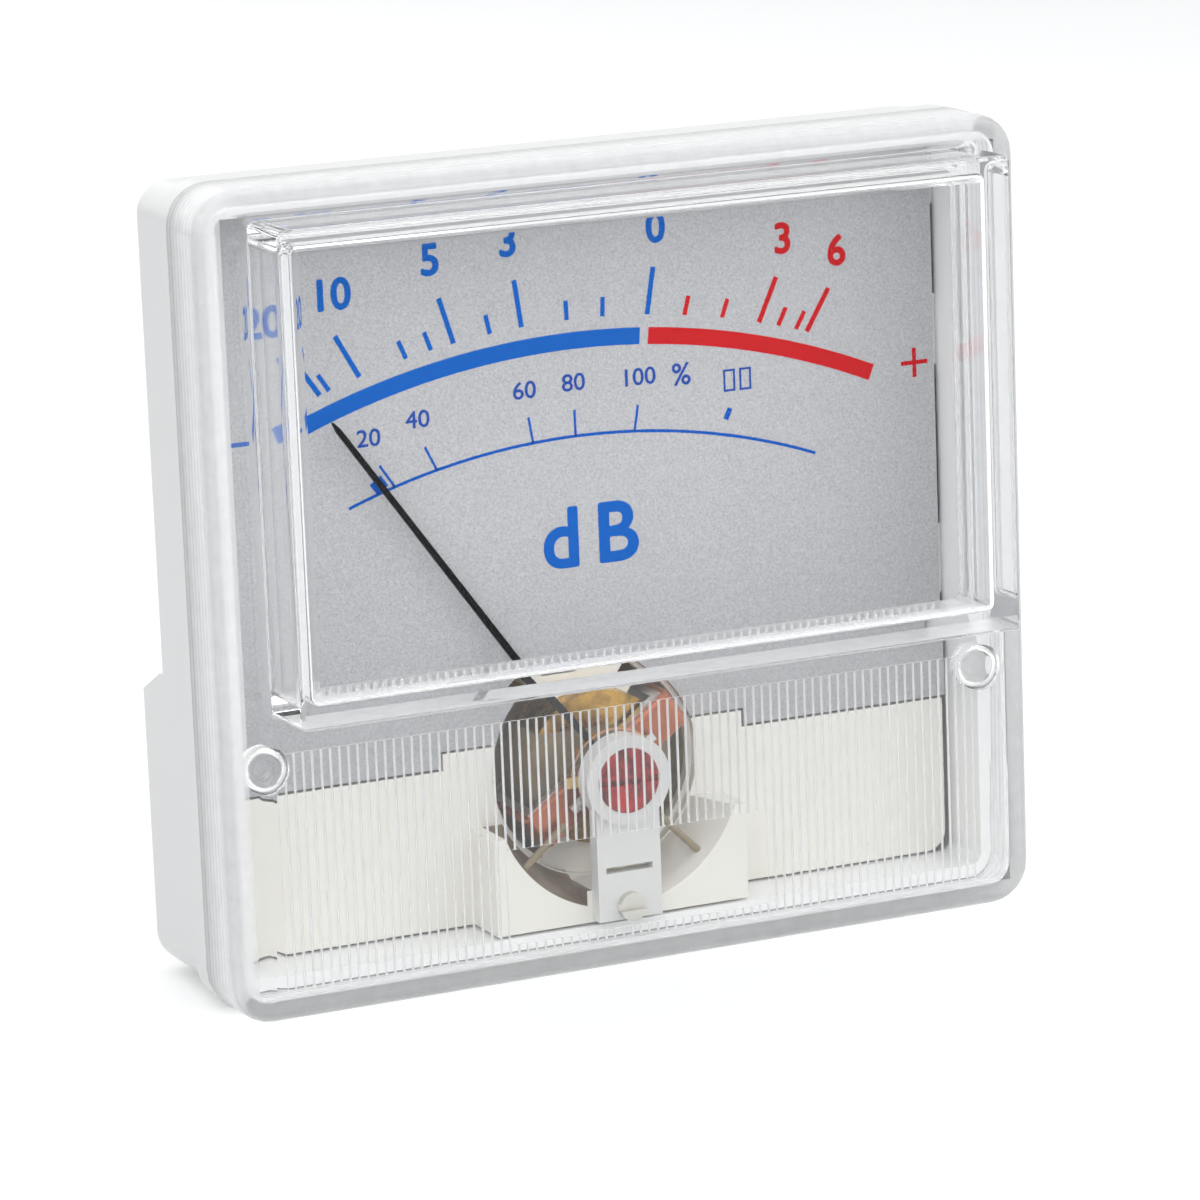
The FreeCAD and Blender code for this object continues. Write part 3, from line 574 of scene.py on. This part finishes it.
def cover_shell(sizes):
    """Rings of the cover from its rim over the outside to the window, and back along the inside."""
    low = millimetres(COVER_LOW)
    high = millimetres(COVER_HIGH)
    half = high.x
    wall = sizes.wall / MM
    corner = sizes.corner / MM
    edge = sizes.edge / MM
    root = sizes.root / MM
    win_edge = sizes.window_edge / MM
    win_corner = sizes.window_corner / MM
    shoulder = low.y + sizes.rise / MM
    win_half, win_low, win_high = WINDOW_HALF, WINDOW_LOW, WINDOW_HIGH
    outer = [ring_of(half, low.z, high.z, corner, high.y)]
    for step in range(7):
        turn = math.pi / 2 * step / 6
        inset = edge * (1 - math.cos(turn))
        outer.append(ring_of(half - inset, low.z + inset, high.z - inset, corner - inset,
                             shoulder + edge * (1 - math.sin(turn))))
    for step in range(5):
        turn = math.pi / 2 * step / 4
        grow = root * (1 - math.sin(turn))
        outer.append(ring_of(win_half + grow, win_low - grow, win_high + grow, win_corner + grow,
                             shoulder - root * (1 - math.cos(turn))))
    for step in range(5):
        turn = math.pi / 2 * step / 4
        inset = win_edge * (1 - math.cos(turn))
        outer.append(ring_of(win_half - inset, win_low + inset, win_high - inset,
                             max(win_corner - inset, 0.05), low.y + win_edge * (1 - math.sin(turn))))
    inner_half = half - wall
    inner = [ring_of(inner_half, low.z + wall, high.z - wall, corner - wall, high.y)]
    inner_edge = 0.35
    face = shoulder + wall
    for step in range(4):
        turn = math.pi / 2 * step / 3
        inset = inner_edge * (1 - math.cos(turn))
        inner.append(ring_of(inner_half - inset, low.z + wall + inset, high.z - wall - inset,
                             corner - wall - inset, face + inner_edge * (1 - math.sin(turn))))
    lip = 0.2
    for step in range(4):
        turn = math.pi / 2 * step / 3
        grow = lip * (1 - math.sin(turn))
        inner.append(ring_of(win_half - wall + grow, win_low + wall - grow, win_high - wall + grow,
                             0.5 + grow, face - lip * (1 - math.cos(turn))))
    deep = low.y + wall
    for step in range(4):
        turn = math.pi / 2 * step / 3
        inset = 0.45 * (1 - math.cos(turn))
        inner.append(ring_of(win_half - wall - inset, win_low + wall + inset, win_high - wall - inset,
                             0.5 - inset, deep + 0.45 * (1 - math.sin(turn))))
    return outer, inner


def make_cover(sizes):
    def fill(bm):
        outer, inner = cover_shell(sizes)
        out = loft(bm, outer, cap_last=True)
        ins = loft(bm, inner, cap_last=True)
        for i, vertex in enumerate(out[0]):
            after = (i + 1) % len(out[0])
            bm.faces.new((vertex, out[0][after], ins[0][after], ins[0][i]))
        bmesh.ops.recalc_face_normals(bm, faces=bm.faces)
    return new_mesh("clear_cover", fill)


def flute_sheet(sizes, name, left, right, low, high):
    """Flat ribs with narrow grooves between them, on the inner face of the cover."""
    face = millimetres(COVER_LOW).y + (sizes.rise + sizes.wall) / MM
    crest = face + sizes.relief / MM
    root = face - 0.3
    pitch = sizes.pitch / MM
    mouth = sizes.groove / MM / 2
    first = math.ceil(left / pitch - 1e-6)
    last = math.floor(right / pitch + 1e-6)
    outline = [(first * pitch, root), (first * pitch, face)]
    for i in range(first, last):
        x = i * pitch
        outline += [(x + mouth * 0.5, face + (crest - face) * 0.35), (x + mouth, crest),
                    (x + pitch - mouth, crest), (x + pitch - mouth * 0.5, face + (crest - face) * 0.35),
                    (x + pitch, face)]
    outline.append((last * pitch, root))

    def fill(bm):
        bottom = [bm.verts.new(place(x, y, low)) for x, y in outline]
        top = [bm.verts.new(place(x, y, high)) for x, y in outline]
        bm.faces.new(bottom)
        bm.faces.new(top[::-1])
        for i, corner in enumerate(bottom):
            after = (i + 1) % len(bottom)
            bm.faces.new((corner, top[i], top[after], bottom[after]))
        bmesh.ops.recalc_face_normals(bm, faces=bm.faces)
    return new_mesh(name, fill)


def stud(sizes, name, x, z, radius=1.3, end=-3.5):
    """Locating stud with a domed end, standing on the inner face."""
    face = millimetres(COVER_LOW).y + (sizes.rise + sizes.wall) / MM - 0.2
    dome = radius * 0.8
    profile = [(radius, face), (radius, end - dome)]
    for step in range(1, 8):
        turn = math.pi / 2 * step / 8
        profile.append((radius * math.cos(turn), end - dome + dome * math.sin(turn)))

    def fill(bm):
        rings = []
        for reach, y in profile:
            turns = [t * math.pi / 16 for t in range(32)]
            rings.append([place(x + reach * math.cos(t), y, z + reach * math.sin(t)) for t in turns])
        made = loft(bm, rings, cap_last=True)
        bm.faces.new(made[0][::-1])
        bmesh.ops.recalc_face_normals(bm, faces=bm.faces)
    return new_mesh(name, fill)


def joined(base, *parts):
    """Exact union of closed meshes, kept as plain mesh data."""
    for part in parts:
        modifier = base.modifiers.new(part.name, "BOOLEAN")
        modifier.operation = "UNION"
        modifier.solver = "EXACT"
        modifier.object = part
    bpy.context.view_layer.update()
    result = bpy.data.meshes.new_from_object(base.evaluated_get(bpy.context.evaluated_depsgraph_get()))
    base.modifiers.clear()
    base.data = result
    for part in parts:
        bpy.data.objects.remove(part)
    return base


class METER_OT_cover(bpy.types.Operator):
    """Clear cover with raised window, fluted lower front and two studs"""

    bl_idname = "meter.cover"
    bl_label = "Clear cover"

    def execute(self, context):
        sizes = context.scene.meter_cover
        cover = make_cover(sizes)
        half = 20.8
        side = 7.8
        low, bare_low, bare_high, high = -8.4, -7.9, -2.6, 4.5
        sheets = [
            flute_sheet(sizes, "flutes_top", -half, half, bare_high, high),
            flute_sheet(sizes, "flutes_left", -half, -side, bare_low, bare_high),
            flute_sheet(sizes, "flutes_right", side, half, bare_low, bare_high),
            flute_sheet(sizes, "flutes_low", -half, half, low, bare_low),
        ]
        studs = [stud(sizes, "stud_left", -21.3, 3.7), stud(sizes, "stud_right", 21.3, 3.7)]
        joined(cover, *sheets, *studs)
        smooth_by_angle(cover, 32, LARGE_FACE)
        dress(cover, clear_plastic())
        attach(cover, "housing")
        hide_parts("front_cover")
        return {"FINISHED"}


class METER_OT_finishes(bpy.types.Operator):
    """Materials of the pieces that keep their CAD shape"""

    bl_idname = "meter.finishes"
    bl_label = "Finishes"

    def execute(self, context):
        for name, material in node_materials().items():
            dress(frame["nodes"][name], material)
        return {"FINISHED"}


ARC_CENTRE = (0.0, -21.3)
BAND_INNER = 44.5
BAND_OUTER = 45.43
TICK_START = 46.13
SHORT_TICK = 47.2
LONG_TICK = 48.75
BASELINE = 50.05
THIN_CENTRE = (0.05, -21.7)
THIN_RADIUS = 40.1
THIN_TICK = 41.55


def on_arc(centre, radius, angle):
    """Point at an angle from straight up, clockwise, on an arc of the scale."""
    turn = math.radians(angle)
    return centre[0] + radius * math.sin(turn), centre[1] + radius * math.cos(turn)


def on_ray(centre, radius, angle):
    """Where the ray from the pivot at an angle meets an arc of the scale."""
    dx, dz = math.sin(math.radians(angle)), math.cos(math.radians(angle))
    along = dx * centre[0] + dz * centre[1]
    reach = along + math.sqrt(along ** 2 - centre[0] ** 2 - centre[1] ** 2 + radius ** 2)
    return reach * dx, reach * dz


def film(name, outlines, context, material):
    """Ink shapes: each outline is a closed list of points, raised a hair above the dial."""
    height = context.scene.meter_print.film / MM

    def fill(bm):
        for outline in outlines:
            bottom = [bm.verts.new(place(x, 0.0, z)) for x, z in outline]
            top = [bm.verts.new(place(x, -height, z)) for x, z in outline]
            bm.faces.new(top)
            bm.faces.new(bottom[::-1])
            for i, corner in enumerate(bottom):
                after = (i + 1) % len(bottom)
                bm.faces.new((corner, bottom[after], top[after], top[i]))
        bmesh.ops.recalc_face_normals(bm, faces=bm.faces)
    piece = new_mesh(name, fill)
    dress(piece, material)
    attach(piece, "housing")
    return piece


def band(centre, inner, outer, start, end, count):
    """Cells along an arc band, each a four-sided outline."""
    cells = []
    for i in range(count):
        a = start + (end - start) * i / count
        b = start + (end - start) * (i + 1) / count
        cells.append([on_arc(centre, inner, a), on_arc(centre, outer, a),
                      on_arc(centre, outer, b), on_arc(centre, inner, b)])
    return cells


def tick(centre, inner, outer, angle, width):
    """A mark that points at the pivot, between two arcs of the scale."""
    x0, z0 = on_ray(centre, inner, angle)
    x1, z1 = on_ray(centre, outer, angle)
    side_x = math.cos(math.radians(angle)) * width / 2
    side_z = -math.sin(math.radians(angle)) * width / 2
    return [(x0 - side_x, z0 - side_z), (x1 - side_x, z1 - side_z),
            (x1 + side_x, z1 + side_z), (x0 + side_x, z0 + side_z)]


def lettering(name, text, x, z, height, weight, context, material, stretch=1.0):
    """Printed characters, centred on x with their feet at z; copies shifted by weight make them bold."""
    curve = bpy.data.curves.new(name, "FONT")
    curve.body = text
    curve.align_x = "CENTER"
    curve.extrude = context.scene.meter_print.film / height / 2
    drawn = bpy.data.objects.new(name + "_curve", curve)
    bpy.context.scene.collection.objects.link(drawn)
    bpy.context.view_layer.update()
    mesh = bpy.data.meshes.new_from_object(drawn.evaluated_get(context.evaluated_depsgraph_get()))
    bpy.data.objects.remove(drawn)
    tall = max(v.co.y for v in mesh.vertices)
    low = min(v.co.y for v in mesh.vertices)
    wide = [v.co.x for v in mesh.vertices]
    middle = (min(wide) + max(wide)) / 2
    scale = (height - 2 * weight * MM) / (tall - low)
    film_height = context.scene.meter_print.film
    for vertex in mesh.vertices:
        ink_top = vertex.co.z > 0
        vertex.co = place(x, 0, z) + Vector((
            (vertex.co.x - middle) * scale * stretch, -film_height if ink_top else 0.0,
            (vertex.co.y - low) * scale + weight * MM))
    shifts = [(math.cos(t * math.pi / 4) * weight, math.sin(t * math.pi / 4) * weight) for t in range(8)]

    def fill(bm):
        bm.from_mesh(mesh)
        for i, (dx, dz) in enumerate(shifts if weight else ()):
            fresh = bmesh.new()
            fresh.from_mesh(mesh)
            layer = -film_height * (i + 1) / 10
            bmesh.ops.translate(fresh, vec=Vector((dx * MM, layer, dz * MM)), verts=fresh.verts)
            copy = bpy.data.meshes.new(name)
            fresh.to_mesh(copy)
            fresh.free()
            bm.from_mesh(copy)
            bpy.data.meshes.remove(copy)
    obj = new_mesh(name, fill)
    dress(obj, material)
    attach(obj, "housing")
    return obj


class METER_OT_print(bpy.types.Operator):
    """Printed scale of the dial"""

    bl_idname = "meter.print"
    bl_label = "Dial print"

    def execute(self, context):
        look = context.scene.meter_print
        blue = ink("ink_blue", tuple(look.ink_blue))
        thin = ink("ink_small", tuple(look.ink_small))
        red = ink("ink_red", tuple(look.ink_red))
        level = {-20: -34.1, -15: -32.9, -10: -29.0, -7: -22.9, -6: -19.6, -5: -16.6, -4: -11.7, -3: -7.4,
                 -2: -1.2, -1: 3.7, 0: 9.9, 1: 15.05, 2: 20.2, 3: 25.25, 4: 27.85, 5: 30.25, 6: 31.7}
        long_marks = (-20, -10, -5, -3, 0, 3, 6)
        blue_marks = []
        red_marks = []
        for mark, angle in level.items():
            reach = LONG_TICK if mark in long_marks else SHORT_TICK
            width = 0.29 if mark in long_marks else 0.26
            (red_marks if mark > 0 else blue_marks).append(
                tick(ARC_CENTRE, TICK_START, reach, angle, width))
        blue_marks += band(ARC_CENTRE, BAND_INNER, BAND_OUTER, -22.2, 4.85, 60)
        red_marks += band(ARC_CENTRE, BAND_INNER, BAND_OUTER, 5.5, 23.5, 40)
        arm = 0.83
        half = 0.12
        px, pz = 20.65, 20.2
        plus = [(px - arm, pz - half), (px - half, pz - half), (px - half, pz - arm), (px + half, pz - arm),
                (px + half, pz - half), (px + arm, pz - half), (px + arm, pz + half), (px + half, pz + half),
                (px + half, pz + arm), (px - half, pz + arm), (px - half, pz + half), (px - arm, pz + half)]
        red_marks.append(plus)
        mx, mz = -19.6, 20.2
        blue_marks.append([(mx - arm, mz - half), (mx + arm, mz - half), (mx + arm, mz + half),
                           (mx - arm, mz + half)])
        film("scale_blue", blue_marks, context, blue)
        film("scale_red", red_marks, context, red)
        percent = {20: -33.2, 40: -26.0, 60: -8.7, 80: -0.8, 100: 10.2}
        thin_marks = band(THIN_CENTRE, THIN_RADIUS - 0.085, THIN_RADIUS + 0.085, -20.1, 20.8, 90)
        for angle in percent.values():
            thin_marks.append(tick(THIN_CENTRE, THIN_RADIUS, THIN_TICK, angle, 0.14))
        thin_marks.append(tick(THIN_CENTRE, THIN_RADIUS + 0.1, THIN_RADIUS + 0.8, -35.0, 0.8))
        thin_marks.append(tick(THIN_CENTRE, 40.95, 41.6, 25.8, 0.3))
        film("scale_thin", thin_marks, context, ink("ink_thin_blue", (0.002, 0.075, 0.38)))
        boxes = []
        for bx in (9.14, 10.12):
            w, h, t, bz = 0.36, 0.62, 0.06, 20.45
            boxes += [[(bx - w, bz - h), (bx - w + 2 * t, bz - h), (bx - w + 2 * t, bz + h), (bx - w, bz + h)],
                      [(bx + w - 2 * t, bz - h), (bx + w, bz - h), (bx + w, bz + h), (bx + w - 2 * t, bz + h)],
                      [(bx - w + 2 * t, bz - h), (bx + w - 2 * t, bz - h), (bx + w - 2 * t, bz - h + 2 * t),
                       (bx - w + 2 * t, bz - h + 2 * t)],
                      [(bx - w + 2 * t, bz + h - 2 * t), (bx + w - 2 * t, bz + h - 2 * t),
                       (bx + w - 2 * t, bz + h), (bx - w + 2 * t, bz + h)]]
        film("scale_boxes", boxes, context, thin)
        tall = look.numeral
        for text, x, material in (("20", -17.4, blue), ("10", -14.0, blue), ("5", -8.42, blue),
                                  ("3", -3.84, blue), ("0", 4.98, blue), ("3", 12.67, red),
                                  ("6", 15.98, red)):
            z = ARC_CENTRE[1] + math.sqrt(BASELINE ** 2 - x ** 2)
            name = "numeral_" + text + ("_red" if material is red else "_blue")
            lettering(name, text, x, z, tall, 0.065, context, material)
        for text, x, z in (("20", -12.41, 19.2), ("40", -9.53, 19.9), ("60", -3.19, 20.78),
                           ("80", -0.27, 20.9), ("100", 3.75, 20.78)):
            lettering("percent_" + text, text, x, z, look.small_numeral, 0.014, context, thin, 1.08)
        lettering("percent_sign", "%", 6.23, 20.5, look.small_numeral * 1.3, 0.02, context, thin)
        lettering("unit_d", "d", -1.38, 11.15, look.unit_letters, 0.1, context, blue)
        lettering("unit_b", "B", 2.1, 11.15, look.unit_letters, 0.1, context, blue)
        return {"FINISHED"}


class METER_OT_stage(bpy.types.Operator):
    """Pale floor, soft lamps, world and camera"""

    bl_idname = "meter.stage"
    bl_label = "Stage"

    def execute(self, context):
        scene = context.scene
        look = scene.meter_stage
        scene.view_settings.view_transform = "Standard"
        floor = new_mesh("floor", lambda bm: bmesh.ops.create_grid(bm, x_segments=2, y_segments=2, size=3.0))
        floor.location = (0, 0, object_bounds()[0][2])
        sheet = Sheet("floor_white")
        rays = sheet.node("ShaderNodeLightPath")
        seen = Value(sheet, rays.outputs["Is Camera Ray"]).larger(
            Value(sheet, rays.outputs["Is Glossy Ray"])).larger(
            Value(sheet, rays.outputs["Is Transmission Ray"]))
        matt = sheet.surface(Base_Color=(0.92, 0.92, 0.92), Roughness=0.9)
        glow = sheet.node("ShaderNodeEmission", {}, {"Color": (1, 1, 1, 1), "Strength": 0.25})
        added = sheet.node("ShaderNodeAddShader", {}, {0: matt, 1: glow.outputs[0]})
        both = sheet.node("ShaderNodeMixShader", {}, {1: matt, 2: added.outputs[0]})
        sheet.feed(both.inputs[0], seen)
        dress(floor, sheet.finish(both.outputs[0]))
        floor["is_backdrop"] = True
        self.world(scene)
        target = place(0, -4, 12)
        for name, spot, size, power in (
                ("key", (-0.32, -0.42, 0.42), 0.5, 3.6),
                ("fill", (0.5, -0.32, 0.3), 0.5, 5.0),
                ("top", (0.0, 0.1, 0.6), 0.6, 4.2),
                ("back", (-0.1, 0.5, 0.3), 0.5, 2.5)):
            lamp = bpy.data.lights.new(name, "AREA")
            lamp.size = size
            lamp.energy = power * look.lamp
            holder = bpy.data.objects.new(name, lamp)
            holder.location = spot
            holder.rotation_euler = (target - Vector(spot)).to_track_quat("-Z", "Y").to_euler()
            scene.collection.objects.link(holder)
        self.camera(scene, look)
        return {"FINISHED"}

    def world(self, scene):
        world = bpy.data.worlds.new("studio")
        world.use_nodes = True
        tree = world.node_tree
        tree.nodes.clear()
        end = tree.nodes.new("ShaderNodeOutputWorld")
        soft = tree.nodes.new("ShaderNodeBackground")
        soft.inputs["Color"].default_value = (0.95, 0.97, 1.0, 1)
        soft.inputs["Strength"].default_value = 0.35
        white = tree.nodes.new("ShaderNodeBackground")
        white.inputs["Color"].default_value = (1, 1, 1, 1)
        white.inputs["Strength"].default_value = 1.0
        rays = tree.nodes.new("ShaderNodeLightPath")
        seen = rays.outputs["Is Camera Ray"]
        for kind in ("Is Transmission Ray", "Is Glossy Ray"):
            larger = tree.nodes.new("ShaderNodeMath")
            larger.operation = "MAXIMUM"
            tree.links.new(seen, larger.inputs[0])
            tree.links.new(rays.outputs[kind], larger.inputs[1])
            seen = larger.outputs[0]
        both = tree.nodes.new("ShaderNodeMixShader")
        tree.links.new(seen, both.inputs[0])
        tree.links.new(soft.outputs[0], both.inputs[1])
        tree.links.new(white.outputs[0], both.inputs[2])
        tree.links.new(both.outputs[0], end.inputs["Surface"])
        scene.world = world

    def camera(self, scene, look):
        lens = bpy.data.cameras.new("camera")
        lens.sensor_width = 36.0
        lens.lens = look.lens
        lens.clip_start = 0.01
        holder = bpy.data.objects.new("camera", lens)
        azimuth, elevation, roll = math.radians(24.43), math.radians(-12.395), math.radians(-2.234)
        ahead = Vector((math.sin(azimuth) * math.cos(elevation), math.cos(azimuth) * math.cos(elevation),
                        math.sin(elevation)))
        right = ahead.cross(Vector((0, 0, 1))).normalized()
        up = right.cross(ahead)
        turned_right = right * math.cos(roll) + up * math.sin(roll)
        turned_up = turned_right.cross(ahead)
        frame_of = Matrix((turned_right, turned_up, -ahead)).transposed().to_4x4()
        frame_of.translation = place(-122.91, -272.53, 74.86)
        holder.matrix_world = frame_of
        scene.collection.objects.link(holder)
        scene.camera = holder


class METER_PT_panel(bpy.types.Panel):
    """The meter's operators and sizes"""

    bl_idname = "METER_PT_panel"
    bl_label = "Level meter"
    bl_space_type = "VIEW_3D"
    bl_region_type = "UI"
    bl_category = "Meter"

    def draw(self, context):
        for operator in OPERATORS:
            self.layout.operator(operator.bl_idname)
        for group in GROUPS:
            settings = getattr(context.scene, group)
            for name in GROUPS[group].__annotations__:
                self.layout.prop(settings, name)


GROUPS = {"meter_cover": CoverSizes, "meter_print": DialPrint, "meter_stage": StageLook}
OPERATORS = (METER_OT_finishes, METER_OT_cover, METER_OT_print, METER_OT_stage)
CLASSES = (*GROUPS.values(), *OPERATORS, METER_PT_panel)


def register():
    for made in CLASSES:
        bpy.utils.register_class(made)
    for name, group in GROUPS.items():
        setattr(bpy.types.Scene, name, bpy.props.PointerProperty(type=group))


def unregister():
    for name in GROUPS:
        delattr(bpy.types.Scene, name)
    for made in reversed(CLASSES):
        bpy.utils.unregister_class(made)


def main():
    register()
    bpy.ops.meter.finishes()
    bpy.ops.meter.cover()
    bpy.ops.meter.print()
    bpy.ops.meter.stage()


if __name__ == "__main__":
    main()
